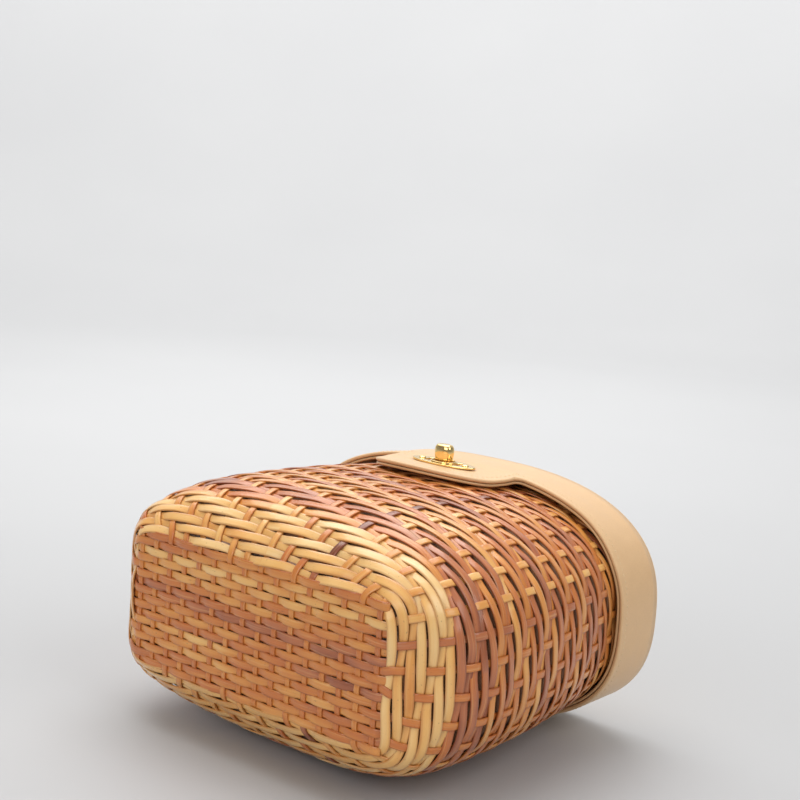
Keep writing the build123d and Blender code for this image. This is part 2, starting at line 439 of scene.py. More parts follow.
STAKES = 44
FRONT_STAKES = 16
END_STAKES = 6
ROW_PITCH = 3.75 * MM
ROW_WIDTH = 3.5 * MM
HEEL_ROWS, HEEL_WIDTH = 8, 3.75 * MM
STAKE_WIDTH = 3.0 * MM
STRIP_THICK = 0.75 * MM
ROW_SWING = 0.72 * MM
STAKE_SWING = 0.55 * MM
STAKE_WANDER = 0.00035  # of the way round
WEAVE_DEPTH = ROW_SWING + STRIP_THICK / 2
ROW_SLANT = 1.0 * MM
BASE_ROWS = 17
BASE_STAKE_WIDTH = 2.5 * MM
BASE_PITCH = 2 * BASE_C / BASE_ROWS
ROWS = int(reaches[-1] / ROW_PITCH)

# The strip's section: across from -1 to 1 and outward from -0.5 to 0.5, rounded on its outer face
SECTION = [(-0.96, -0.46), (-1.00, -0.36), (-1.00, 0.20), (-0.95, 0.35), (-0.58, 0.45), (0.0, 0.47),
           (0.58, 0.45), (0.95, 0.35), (1.00, 0.20), (1.00, -0.36), (0.96, -0.46)]


class Strips:
    """Collects strips and joins them into one object."""

    def __init__(self):
        self.verts, self.faces, self.count = [], [], 0
        self.values = {"tone": [], "along": [], "across": [], "seed": []}

    def add(self, centre, side, out, width, tone, closed=False):
        """One strip along centre, with side across it and out away from the basket."""
        n = len(centre)
        width = np.broadcast_to(width, n)
        tone = np.broadcast_to(tone, n)
        section = np.array(SECTION)
        m = len(section)
        lateral = section[:, 0] * width[:, None] / 2
        lift = section[:, 1] * STRIP_THICK
        points = centre[:, None] + side[:, None] * lateral[..., None] + out[:, None] * lift[:, None]
        start = self.count
        self.verts.append(points.reshape(-1, 3))
        self.faces.append(grid_faces(n, m, closed, True, start))
        if not closed:
            end = np.arange(m) + start
            self.faces.append([end[::-1].tolist()])
            self.faces.append([(end + (n - 1) * m).tolist()])
        self.values["along"].append(np.repeat(run_length(centre), m))
        self.values["across"].append(lateral.reshape(-1))
        self.values["tone"].append(np.repeat(tone, m))
        self.values["seed"].append(np.full(n * m, rng.uniform(0, 50)))
        self.count += n * m

    def build(self, name):
        faces = [tuple(f) for block in self.faces for f in block]
        obj = new_object(name, np.concatenate(self.verts), faces)
        for key, blocks in self.values.items():
            set_attribute(obj, key, np.concatenate(blocks))
        assign(obj, cane)
        return obj


def twill_turn(row, stake):
    """The angle in the twill, two over and two under: a full turn takes four stakes or four rows."""
    return 2 * np.pi * (row + stake - 0.5) / 4


def flattened(wave, sharpness):
    """A wave from -1 to 1 with flatter tops."""
    return np.tanh(sharpness * wave) / np.tanh(sharpness)


def swing(angle):
    """1 where the row is outside and -1 where the stake is."""
    return flattened(np.cos(angle), 1.6)


def ring_noise(u, count):
    """Smooth random values from -1 to 1 round the basket, with count changes of course."""
    knots = rng.uniform(-1, 1, count)
    place = u / STAKES * count
    i = np.floor(place).astype(int) % count
    f = fade(place - np.floor(place), 0, 1)
    return knots[i] * (1 - f) + knots[(i + 1) % count] * f


def row_tone(row, count):
    """A row's tone round the basket: straw near the base, then pink-brown, then mixed.

    A strip runs out after a few hands' width and another, of its own tone, carries the row on.
    """
    if row < 7:
        choices, spread = [0.10, 0.18, 0.26], [0.4, 0.4, 0.2]
    elif row < 12:
        choices, spread = [0.44, 0.60, 0.70], [0.25, 0.45, 0.3]
    else:
        choices, spread = [0.26, 0.38, 0.50, 0.62, 0.72], [0.14, 0.26, 0.27, 0.23, 0.10]
    tone = np.empty(count)
    start = rng.integers(0, count)
    done = 0
    while done < count:
        length = int(rng.uniform(0.25, 0.8) * count)
        tone[(start + done + np.arange(min(length, count - done))) % count] = rng.choice(choices, p=spread)
        done += length
    u = full_turn(count)
    return tone + 0.05 * np.sin(3 * u + 6 * rng.random()) + 0.04 * np.sin(7 * u + 6 * rng.random())


def square_frame(ahead, out):
    """The unit directions across a strip and out of it, square to the way that it runs."""
    tangent = unit(ahead)
    normal = unit(out - tangent * np.sum(out * tangent, 1)[:, None])
    return np.cross(tangent, normal), normal


def side_rows(name, first, last):
    """The rows from first up to last, each one strip that runs right round the basket."""
    strips = Strips()
    per_stake = 8
    count = STAKES * per_stake
    u = np.arange(count) / per_stake
    for row in range(first, last):
        angle = twill_turn(row, u)
        over = swing(angle)
        bend = np.sin(angle) - 0.08 * np.sin(3 * angle)
        wander = 0.12 * MM * np.sin(2 * np.pi * (u / STAKES * 5 + rng.random()))
        slant = ROW_SLANT * (1 + 0.35 * ring_noise(u, STAKES // 2))
        settle = np.clip(row / 10, 0.45, 1)
        reach = (row + 0.5) * ROW_PITCH + slant * settle * bend + wander
        h = height_at(np.clip(reach, 0.3 * MM, reaches[-1]))
        p, out = wall.frame((u + 0.5) / STAKES, h)
        swing_here = ROW_SWING * (0.92 + 0.16 * rng.random())
        centre = p + out * (-WEAVE_DEPTH + swing_here * over)[:, None]
        side, normal = square_frame(np.roll(centre, -1, 0) - np.roll(centre, 1, 0), out)
        roll = (0.16 * np.cos(angle) - 0.1 + 0.1 * ring_noise(u, STAKES // 2))[:, None]
        side, normal = (side * np.cos(roll) + normal * np.sin(roll),
                        normal * np.cos(roll) - side * np.sin(roll))
        wide = HEEL_WIDTH + (ROW_WIDTH - HEEL_WIDTH) * np.clip((row - HEEL_ROWS) / 4 + 1, 0, 1)
        wide = wide * (0.93 + 0.1 * rng.random())
        width = wide * (0.95 + 0.07 * over + 0.04 * ring_noise(u, STAKES))
        strips.add(centre, side, normal, width, row_tone(row, count), closed=True)
    return strips.build(name)


def stake_tone():
    return rng.choice([0.26, 0.38, 0.50, 0.62, 0.80], p=[0.2, 0.3, 0.3, 0.12, 0.08]) + 0.05 * rng.random()


def front_stake_tone():
    return rng.choice([0.26, 0.38, 0.5, 0.84], p=[0.35, 0.35, 0.2, 0.1]) + 0.05 * rng.random()


def climb(stake, samples_per_row):
    """A stake's points and outward normals up the wall, from the base's edge to the rim."""
    rows = np.arange(0, ROWS, 1 / samples_per_row)
    h = height_at((rows + 0.5) * ROW_PITCH)
    t = np.full(len(rows), (stake + 0.5) / STAKES)
    wander = STAKE_WANDER * np.sin(rows * 0.35 + rng.uniform(0, 6))
    p, out = wall.frame(t + wander, h)
    depth = -WEAVE_DEPTH - STAKE_SWING * swing(twill_turn(rows, stake))
    return p + out * depth[:, None], out


def smooth_path(points, times=2):
    for _ in range(times):
        points[1:-1] = (points[:-2] + 2 * points[1:-1] + points[2:]) / 4
    return points


def averaged(values, reach):
    """A running mean over reach values to each side."""
    return np.convolve(np.pad(values, reach, mode="edge"), np.ones(2 * reach + 1) / (2 * reach + 1), "valid")


STAKE_END = 1.2 * MM  # from a stake's flat part across the base to the base's edge
BASE_SWING = 0.45 * MM
STAKE_PITCH = 2 * BASE_A / FRONT_STAKES
OUT_OF_BASE = np.array([0.0, -1.0, 0.0])


def base_wave(position, pitch, count, parity):
    """1 where a base strip is outside and -1 where it is inside, in plain weave."""
    index = position / pitch + (count - 1) / 2
    return flattened(np.cos(np.pi * (index + parity)), 1.5)


def base_centre(x, z, wave, swing_size):
    """Points in the base's plane, sunk by the weave's depth."""
    return np.stack([x, BASE_Y + WEAVE_DEPTH - wave * swing_size, MID_Z + z], -1)


def add_open_strip(strips, points, outs, width, tone):
    side, normal = square_frame(np.gradient(points, axis=0), outs)
    strips.add(points, side, normal, width, tone)


def add_through_base(strips, up_one, middle, up_other, width, tone, middle_tone):
    """Adds a strip that runs down one side, across the base and up the other side."""
    points = np.concatenate([up_one[0][::-1], middle, up_other[0]])
    outs = np.concatenate([up_one[1][::-1], np.tile(OUT_OF_BASE, (len(middle), 1)), up_other[1]])
    across = slice(len(up_one[0]), len(up_one[0]) + len(middle))
    wide, tones = np.full(len(points), STAKE_WIDTH), np.full(len(points), tone)
    wide[across], tones[across] = width, middle_tone
    add_open_strip(strips, smooth_path(points), smooth_path(outs, 6), averaged(wide, 8), averaged(tones, 4))


def front_back_stakes():
    """Stakes that run up the back, across the base and up the front, each in one strip."""
    strips = Strips()
    per_row = 5
    for j in range(FRONT_STAKES):
        from_middle = j - FRONT_STAKES // 2
        front = climb(from_middle % STAKES, per_row)
        back = climb((STAKES // 2 - 1 - from_middle) % STAKES, per_row)
        x = (j - (FRONT_STAKES - 1) / 2) * STAKE_PITCH
        z = np.linspace(STAKE_END - BASE_C, BASE_C - STAKE_END, BASE_ROWS * 6)
        wave = base_wave(z, BASE_PITCH, BASE_ROWS, j)
        middle = base_centre(np.full_like(z, x), z, wave, BASE_SWING * 0.75)
        tone = front_stake_tone()
        middle_tone = 0.50 + 0.04 * rng.standard_normal()
        add_through_base(strips, back, middle, front, BASE_STAKE_WIDTH, tone, middle_tone)
    return strips.build("cane_stakes_front")


END_ROWS = [1, 4, 7, 9, 12, 15]
STRAW_ROWS, DARK_ROWS = [14], [6, 9, 10]


def base_row_tone(row, count):
    """Orange-brown base rows, a few of them dark, and one straw row near the front."""
    if row in STRAW_ROWS:
        tone = 0.20
    elif row in DARK_ROWS:
        tone = 0.66
    else:
        tone = rng.choice([0.41, 0.46, 0.52], p=[0.35, 0.4, 0.25])
    u = np.linspace(0, 1, count)
    return tone + 0.07 * np.sin(5 * u + 6 * rng.random()) + 0.05 * np.sin(13 * u + 6 * rng.random())


def row_half(row):
    """Half a base row's length: those at the base's corners are short, and most go under the wall."""
    if row in END_ROWS:
        return BASE_A - 1.0 * MM
    return BASE_A - 0.8 * MM if row in (0, BASE_ROWS - 1) else BASE_A + 0.9 * MM


def base_rows():
    """The base's rows. Six run on up both ends as stakes, and the rest tuck under the first side row."""
    short, long = Strips(), Strips()
    per_row = 5
    samples = FRONT_STAKES * 8
    for row in range(BASE_ROWS):
        z = (row - (BASE_ROWS - 1) / 2) * BASE_PITCH
        x = np.linspace(-row_half(row), row_half(row), samples)
        wave = base_wave(x, STAKE_PITCH, FRONT_STAKES, row + 1)
        drift = 0.25 * MM * np.sin(x / BASE_A * 4 + rng.uniform(0, 6))
        middle = base_centre(x, z + drift, wave, BASE_SWING)
        if row in END_ROWS:
            k = END_ROWS.index(row)
            right = climb(STAKES // 4 + (END_STAKES // 2 - 1 - k), per_row)
            left = climb(3 * STAKES // 4 - (END_STAKES // 2 - k), per_row)
            tone = stake_tone()
            add_through_base(long, left, middle, right, BASE_PITCH, tone, base_row_tone(row, samples))
        else:
            tuck = 1.3 * MM * fade(np.abs(x), BASE_A - 3.5 * MM, BASE_A + 0.4 * MM)
            outs = np.tile(OUT_OF_BASE, (samples, 1))
            add_open_strip(short, middle - OUT_OF_BASE * tuck[:, None], outs, BASE_PITCH,
                           base_row_tone(row, samples))
    return short.build("cane_base_rows"), long.build("cane_stakes_ends")


# ---- Lid ----

TONGUE_HALF = (tongue_high.x - tongue_low.x) / 2
TONGUE_TIP = tongue_low.y - BASE_Y
TONGUE_POWER = 2.35
NECK_ROUND = 3.0 * MM
LIFT = plate_low.z - MID_Z - LID_C - 0.2 * MM  # how far the tongue stands out over the lock
SLACK = 2.8 * MM  # how much further its tip stands out
FLARE = 1.5 * MM  # how far the lid's lower edge stands out at the front
FLARE_TALL = 24.0 * MM
OUTER_THICK, INNER_THICK = 1.75 * MM, 1.2 * MM  # the two leathers, sewn face to face
SKIN_GAP, INNER_INSET = 0.25 * MM, 0.15 * MM  # between them, and the inner one's smaller outline
KNOB_HOLE = (10.8 * MM, 7.8 * MM)  # through the leather and the plate, along X and along Y
BEND_START, BEND_END = 0.1 * MM, 7.5 * MM  # two heights, just below the lid's edge


class LidChart:
    """The lid's outline unrolled: sigma is the distance round it from the middle of the front."""

    def __init__(self, a, c):
        self.x, self.z = outline(a, c, LID_POWER, np.linspace(-np.pi, np.pi, 2881))
        length = run_length(np.stack([self.x, self.z], -1))
        self.total = length[-1]
        self.sigma = length - self.total / 2

    def wrap(self, sigma):
        return (sigma + self.total / 2) % self.total - self.total / 2

    def at(self, sigma):
        return np.interp(sigma, self.sigma, self.x), np.interp(sigma, self.sigma, self.z)

    def place(self, sigma):
        """x, z and the outward normal's x and z at a distance round the outline."""
        step = 0.4 * MM
        x0, z0 = self.at(self.wrap(sigma - step))
        x1, z1 = self.at(self.wrap(sigma + step))
        size = np.hypot(x1 - x0, z1 - z0)
        return *self.at(sigma), -(z1 - z0) / size, (x1 - x0) / size


chart = LidChart(LID_A, LID_C)


def spaced(path, places):
    """Points at distances along a path."""
    length = run_length(path)
    return np.stack([np.interp(places, length, path[:, k]) for k in range(path.shape[1])], -1)


def tongue_edge(inset):
    """Points down one side of the tongue, round its tip and up the other, with the neck's curves."""
    half, tip, neck = TONGUE_HALF - inset, TONGUE_TIP + inset, NECK_ROUND - inset
    top = LID_EDGE + inset
    neck_steps, tip_steps, count = 10, 80, 150
    neck_curve = []
    for k in range(neck_steps):
        a = quarter(k, neck_steps)
        neck_curve.append((half + neck * (1 - math.sin(a)), top - neck * (1 - math.cos(a))))
    points = [(-x, y) for x, y in neck_curve]
    for k in range(tip_steps + 1):
        a = math.pi * (1 - k / tip_steps)
        c, s = math.cos(a), math.sin(a)
        x = half * math.copysign(abs(c) ** (2 / TONGUE_POWER), c)
        points.append((x, (top - neck) - (top - neck - tip) * abs(s) ** (2 / TONGUE_POWER)))
    points = np.array(points + neck_curve[::-1])
    return spaced(points, np.linspace(0, run_length(points)[-1], count))


def window(sigma):
    """1 over the tongue, fading to 0 at the sides of its neck."""
    return 1 - fade(np.abs(sigma), TONGUE_HALF - 4 * MM, TONGUE_HALF + NECK_ROUND)


def stand_off(sigma, y):
    """How far the leather stands out from the CAD band: its lower edge flares, the tongue lifts."""
    at_front = 1 - fade(np.abs(sigma), 68 * MM, 98 * MM)
    flare = FLARE * at_front * (1 - fade(y, LID_EDGE, LID_EDGE + FLARE_TALL))
    tongue = window(sigma)
    over_lock = tongue * (1 - fade(y, LOCK_H + 5.5 * MM, LID_EDGE + 3.0 * MM))
    below = LOCK_H - 4 * MM
    slack = np.clip((below - y) / (below - TONGUE_TIP), 0, 1)
    return flare * (1 - over_lock) + LIFT * over_lock + SLACK * slack ** 1.4 * tongue


def lid_skin(name, inset, depth, thick, top):
    """The band and the tongue in one leather sheet: a closed loop of points for each place round."""
    band_rows, lower_rows, round_steps, rest_count = 7, 19, 3, 221
    edge = tongue_edge(inset)
    reach = edge[-1, 0]
    rest = np.linspace(reach, chart.total - reach, rest_count)[1:-1]
    rest = np.where(rest > chart.total / 2, rest - chart.total, rest)
    top_sigma = np.concatenate([np.linspace(-reach, reach, len(edge)), rest])
    low = np.concatenate([edge, np.stack([rest, np.full(len(rest), LID_EDGE + inset)], -1)])

    # The way down out of the sheet at each place of its lower edge, which closes round the back
    tangent = np.roll(low, -1, 0) - np.roll(low, 1, 0)
    tangent[:, 0] = chart.wrap(tangent[:, 0])
    tangent = unit(tangent)
    down = np.stack([tangent[:, 1], -tangent[:, 0]], -1)
    r = thick / 2
    inset_low = low - down * r
    shoulder_y = LID_EDGE + 4.0 * MM
    shoulder = np.stack([top_sigma, np.full(len(low), shoulder_y)], -1)
    rows = [(np.stack([top_sigma, np.full(len(low), y)], -1), 1)
            for y in np.linspace(top, shoulder_y, band_rows + 1)[:-1]]
    rows += [(shoulder * (1 - f) + inset_low * f, 1) for f in np.linspace(0, 1, lower_rows)]
    back = [(place, -1) for place, _ in reversed(rows)]
    for k in range(1, 2 * round_steps):
        a = math.pi / 2 * (1 - k / round_steps)
        rows.append((inset_low + down * r * math.cos(a), math.sin(a)))
    loops = []
    for place, layer in rows + back:
        sigma = chart.wrap(place[:, 0])
        x, z, nx, nz = chart.place(sigma)
        out = stand_off(sigma, place[:, 1]) - depth - r + r * layer
        loops.append(np.stack([x + nx * out, BASE_Y + place[:, 1], MID_Z + z + nz * out], -1))
    points = np.stack(loops, 1)
    return new_object(name, points, grid_faces(points.shape[0], points.shape[1], True, True, flip=True))


def cut_slot(obj, width, length):
    """Cuts the round-ended hole that the knob passes through."""
    r, steps = length / 2, 32
    points = []
    for side in (1, -1):
        for k in range(steps + 1):
            a = -math.pi / 2 + math.pi * k / steps
            points.append((side * (width / 2 - r + r * math.cos(a)), side * r * math.sin(a)))
    y, front = BASE_Y + LOCK_H, MID_Z + LID_C
    verts = [(p, y + q, front + z) for z in (-6 * MM, 8 * MM) for p, q in points]
    n = len(points)
    faces = [tuple(range(n))[::-1], tuple(range(n, 2 * n))]
    faces += [(i, (i + 1) % n, n + (i + 1) % n, n + i) for i in range(n)]
    cutter = new_object("slot_cutter", verts, faces, smooth=False)
    modifier = obj.modifiers.new("slot", "BOOLEAN")
    modifier.operation = "DIFFERENCE"
    modifier.solver = "EXACT"
    modifier.object = cutter
    bpy.context.view_layer.update()
    mesh = bpy.data.meshes.new_from_object(obj.evaluated_get(bpy.context.evaluated_depsgraph_get()))
    obj.modifiers.clear()
    obj.data = mesh
    bpy.data.objects.remove(cutter)


def panel(name, low, high, round_over, crown):
    """A closed panel in the lid's outline, with a rounded upper edge and a domed top."""
    steps, count = 6, 240
    x0, z0 = outline(LID_A, LID_C, LID_POWER, full_turn(count))
    dx, dz = np.roll(x0, -1) - np.roll(x0, 1), np.roll(z0, -1) - np.roll(z0, 1)
    size = np.hypot(dx, dz)
    profile = [(0.0, low)]
    for k in range(steps + 1):
        a = quarter(k, steps)
        profile.append((-round_over * (1 - math.cos(a)), high - round_over * (1 - math.sin(a))))
    rings = [np.stack([x0 - dz / size * o, np.full(count, BASE_Y + h), MID_Z + z0 + dx / size * o], -1)
             for o, h in profile]
    centre, under = np.array([0, BASE_Y + high, MID_Z]), np.array([0, BASE_Y + low, MID_Z])
    last = rings[-1]
    rings = [under + (rings[0] - under) * f for f in (0.2, 0.4, 0.6, 0.8)] + rings
    for f in (0.8, 0.6, 0.4, 0.2):
        rings.append(centre + (last - centre) * f + [0, crown * (1 - f * f), 0])
    verts = np.concatenate(rings + [[under], [centre + [0, crown, 0]]])
    bottom, top = len(rings) * count, len(rings) * count + 1
    faces = [(p, s, r, q) for p, q, r, s in grid_faces(len(rings), count, False, True)]
    faces += [(bottom, j, (j + 1) % count) for j in range(count)]
    base = bottom - count
    faces += [(top, base + (j + 1) % count, base + j) for j in range(count)]
    return new_object(name, verts, faces)


# ---- Stitches ----

TOP_INSET, STITCH_INSET, STITCH_PITCH = 4.2 * MM, 3.4 * MM, 2.6 * MM
STITCH_LENGTH, STITCH_RADIUS = STITCH_PITCH * 0.68, 0.17 * MM


def stitches(name, places, outs, alongs):
    """Short raised stitches: a small capsule for each place, along the seam."""
    verts, faces = [], []
    around, steps, radius = 6, 7, STITCH_RADIUS
    for p, out, along in zip(places, outs, alongs):
        side = np.cross(along, out)
        start = len(verts)
        for k in range(steps):
            f = k / (steps - 1) * 2 - 1
            r = radius * math.sqrt(max(0.0, 1 - abs(f) ** 3)) + radius * 0.02
            middle = p + along * f * STITCH_LENGTH / 2 - out * radius * 0.8 * f ** 2
            for a in full_turn(around):
                verts.append(middle + out * r * math.sin(a) + side * r * math.cos(a))
        faces += [tuple(f) for f in grid_faces(steps, around, False, True, start)]
        faces.append(tuple(start + m for m in range(around))[::-1])
        faces.append(tuple(start + (steps - 1) * around + m for m in range(around)))
    obj = new_object(name, verts, faces)
    assign(obj, thread)
    return obj


def stitch_places(length):
    """Distances of evenly spaced stitches along a seam."""
    count = int(length / STITCH_PITCH)
    return (np.arange(count) + 0.5) / count * length


def on_lid(place):
    """Points just above the outer leather, and its normals, at distances round the lid and heights."""
    sigma, y = chart.wrap(place[:, 0]), place[:, 1]
    x, z, nx, nz = chart.place(sigma)
    out = stand_off(sigma, y) + 0.02 * MM
    points = np.stack([x + nx * out, BASE_Y + y, MID_Z + z + nz * out], -1)
    return points, np.stack([nx, np.zeros_like(nx), nz], -1)


def edge_stitches():
    """A line of stitches round the lid's band and the tongue, a little way in from the edge."""
    line = tongue_edge(STITCH_INSET)
    reach = line[-1, 0]
    rest = np.linspace(reach, chart.total - reach, 400)[1:-1]
    path = np.concatenate([line, np.stack([rest, np.full(len(rest), LID_EDGE + STITCH_INSET)], -1)])
    at = stitch_places(run_length(path)[-1])
    points, outs = on_lid(spaced(path, at))
    step = 0.3 * MM
    alongs = unit(on_lid(spaced(path, at + step))[0] - on_lid(spaced(path, at - step))[0])
    return stitches("lid_stitches", points, outs, alongs)


def top_stitches():
    """A line of stitches round the lid's top panel."""
    count = int((chart.total - 2 * np.pi * TOP_INSET) / STITCH_PITCH)
    x, z, nx, nz = chart.place((np.arange(count) + 0.5) / count * chart.total - chart.total / 2)
    y = np.full(count, BASE_Y + LID_TOP - 0.24 * MM)
    points = np.stack([x - nx * TOP_INSET, y, MID_Z + z - nz * TOP_INSET], -1)
    alongs = np.stack([-nz, np.zeros(count), nx], -1)
    return stitches("top_stitches", points, np.tile([0.0, 1.0, 0.0], (count, 1)), alongs)


# ---- Lock ----

KNOB_A, KNOB_C = (knob_high.x - knob_low.x) / 2, (knob_high.y - knob_low.y) / 2
KNOB_Y = (knob_low.y + knob_high.y) / 2
KNOB_POWER, KNOB_TALL, STEM = 2.7, 7.6 * MM, 1.5 * MM
# Outlines of turned pieces, as radius and height: the knob by its own size, the dome in millimetres
KNOB_SHAPE = [(0.80, 0.0), (0.86, 0.02), (0.90, 0.06), (0.93, 0.14), (0.97, 0.30), (1.0, 0.48), (1.0, 0.62),
              (0.985, 0.72), (0.95, 0.82), (0.88, 0.90), (0.76, 0.96), (0.58, 0.99), (0.3, 1.0)]
DOME = [(1.0, 0.0), (0.98, 0.18), (0.9, 0.36), (0.74, 0.52), (0.5, 0.63), (0.25, 0.68)]
DOME_R, SHANK_R, RIVET_X = 1.65 * MM, 1.0 * MM, 12.0 * MM
PLATE_Y = BASE_Y + LOCK_H
PLATE_WINDOW, WINDOW_X = (3.0 * MM, 6.0 * MM), 7.9 * MM
RIM_OUT, RIM_IN = (12.4 * MM, 9.2 * MM), (10.9 * MM, 7.9 * MM)  # the raised rim round its hole


def join_meshes(name, objects):
    """One object from several, which are then removed."""
    verts, faces = [], []
    for obj in objects:
        start = len(verts)
        verts += [tuple(v.co) for v in obj.data.vertices]
        faces += [tuple(i + start for i in f.vertices) for f in obj.data.polygons]
        bpy.data.objects.remove(obj)
    joined = new_object(name, verts, faces)
    joined.data.set_sharp_from_angle(angle=math.radians(38))
    return joined


def turned_piece(name, profile, a, c, n, x, y, z, count=64):
    """A solid turned round an axis that points out of the front, with an oval outline."""
    u, v = outline(a, c, n, full_turn(count))
    loops = [np.stack([x + u * r, y + v * r, np.full(count, z + h)], -1) for r, h in profile]
    ends = [[x, y, z + profile[0][1]], [x, y, z + profile[-1][1]]]
    verts = np.concatenate([np.stack(loops, 1).reshape(-1, 3), ends])
    m = len(profile)
    faces = [tuple(f) for f in grid_faces(count, m, True, False)]
    for i in range(count):
        j = (i + 1) % count
        faces.append((count * m, j * m, i * m))
        faces.append((count * m + 1, i * m + m - 1, j * m + m - 1))
    return new_object(name, verts, faces)


def slot_points(width, length, x, y):
    """A round-ended slot, with its longer side along X or along Y."""
    r = min(width, length) / 2
    points = []
    steps = 48
    for k in range(steps):
        a = 2 * math.pi * k / steps
        p, q = r * math.cos(a), r * math.sin(a)
        points.append((x + p + math.copysign(width / 2 - r, p), y + q + math.copysign(length / 2 - r, q)))
    return points


def sheet_piece(name, loops, z, thick, bevel):
    """A flat sheet with holes and rounded edges: the first loop is its outline."""
    curve = bpy.data.curves.new(name, "CURVE")
    curve.dimensions = "2D"
    curve.fill_mode = "BOTH"
    curve.extrude = thick / 2 - bevel
    curve.bevel_depth = bevel
    curve.bevel_resolution = 2
    curve.offset = -bevel
    for loop in loops:
        spline = curve.splines.new("POLY")
        spline.points.add(len(loop) - 1)
        for point, (x, y) in zip(spline.points, loop):
            point.co = (x, y, 0, 1)
        spline.use_cyclic_u = True
    holder = bpy.data.objects.new(name, curve)
    bpy.context.scene.collection.objects.link(holder)
    bpy.context.view_layer.update()
    mesh = bpy.data.meshes.new_from_object(holder.evaluated_get(bpy.context.evaluated_depsgraph_get()))
    bpy.data.objects.remove(holder)
    mesh.transform(Matrix.Translation((0, 0, z)))
    obj = bpy.data.objects.new(name, mesh)
    bpy.context.scene.collection.objects.link(obj)
    return obj


def knob_piece():
    """The knob's flattened barrel on its stem, which reaches down to the lock's base."""
    foot = knob_high.z - KNOB_TALL
    head = turned_piece("knob_head", [(r, h * KNOB_TALL) for r, h in KNOB_SHAPE], KNOB_A, KNOB_C,
                        KNOB_POWER, 0, KNOB_Y, foot)
    stem_shape = [(0.9, 0.0), (1.0, 0.2 * MM), (1.0, foot - knob_low.z + 0.4 * MM)]
    stem = turned_piece("knob_stem", stem_shape, STEM, STEM, 2.0, 0, KNOB_Y, knob_low.z)
    return join_meshes("turn_knob_gold", [head, stem])


def plate_piece():
    """The tongue's oval plate, with a raised rim round its hole, two windows and two domed rivets."""
    a, c = (plate_high.x - plate_low.x) / 2, (plate_high.y - plate_low.y) / 2
    oval = [(p, PLATE_Y + q) for p, q in zip(*outline(a, c, 2.0, full_turn(96)))]
    loops = [oval, slot_points(*KNOB_HOLE, 0, PLATE_Y)]
    loops += [slot_points(*PLATE_WINDOW, side * WINDOW_X, PLATE_Y) for side in (-1, 1)]
    thick, middle = plate_high.z - plate_low.z, (plate_low.z + plate_high.z) / 2
    parts = [sheet_piece("lock_plate_gold", loops, middle, thick, 0.22 * MM)]
    rim = [slot_points(*RIM_OUT, 0, PLATE_Y), slot_points(*RIM_IN, 0, PLATE_Y)]
    parts.append(sheet_piece("lock_plate_rim", rim, plate_high.z + 0.15 * MM, 0.8 * MM, 0.25 * MM))
    shank = [(0.9, 0.0), (1.0, 0.1 * MM), (1.0, 2.3 * MM)]
    for x in (-RIVET_X, RIVET_X):
        parts.append(turned_piece("rivet_dome", [(r, h * MM) for r, h in DOME], DOME_R, DOME_R, 2.0,
                                  x, PLATE_Y, plate_high.z, 32))
        parts.append(turned_piece("rivet_shank", shank, SHANK_R, SHANK_R, 2.0, x, PLATE_Y,
                                  plate_high.z - 2.2 * MM, 24))
    return join_meshes("lock_plate_gold_set", parts)


# ---- Basket's rim, lining and strap ----

AROUND = 288
turn = full_turn(AROUND)
RIM_OUTSET, RIM_INSET = 1.5 * MM, 5.2 * MM  # the folded leather's faces, out and in from the wall
RIM_STITCH_H = RIM - 5.6 * MM
LINING_FLOOR, LINING_OUTSET, LINING_THICK = 3.3 * MM, -2.9 * MM, 0.8 * MM
STRAP_HALF, STRAP_UP, STRAP_THICK = 35.0 * MM, 10 * MM, 0.6 * MM
STRAP_EDGE = 1.2 * MM
LID_INSIDE = 3.75 * MM  # from the lid's outer face to its back's inner side
STRAP_BEND = 1.5 * MM


def basket_loop(h, outset, extra=0.0):
    """A level loop round the basket at height h, moved out from the wall's surface by outset."""
    x, z = outline(half_width(h) + outset + extra, half_depth(h) + outset + extra, power(h), turn)
    return np.stack([x, np.full(AROUND, BASE_Y + h), MID_Z + z], -1)


def loop_piece(name, loops, closed, flip=False):
    points = np.stack(loops, 1)
    return new_object(name, points, grid_faces(AROUND, len(loops), True, closed, flip=flip))


def rim_leather():
    """The leather strip folded over the rim, with rounded outer edges."""
    out, back, thick, r = RIM_OUTSET, -RIM_INSET, 1.2 * MM, 1.1 * MM
    low, high = RIM - 8.0 * MM, RIM + 1.5 * MM
    cut = [(0.5 * MM, 0.0), (0.12 * MM, 0.15 * MM), (0.0, 0.5 * MM)]  # the rounded cut edge
    turns = (0.0, 0.4, 0.8, 1.2, math.pi / 2)
    path = [(out - inward, low + up) for inward, up in cut] + [(out, high - r)]
    path += [(out - r * (1 - math.cos(a)), high - r * (1 - math.sin(a))) for a in turns[1:]]
    path += [(back + r * (1 - math.sin(a)), high - r * (1 - math.cos(a))) for a in turns]
    path += [(back + inward, low + up) for inward, up in cut[::-1]] + [(back + thick, low)]
    path += [(back + thick, high - thick), (out - thick, high - thick), (out - thick, low)]
    obj = loop_piece("rim_leather", [basket_loop(h, o) for o, h in path], True)
    assign(obj, leather)
    return obj


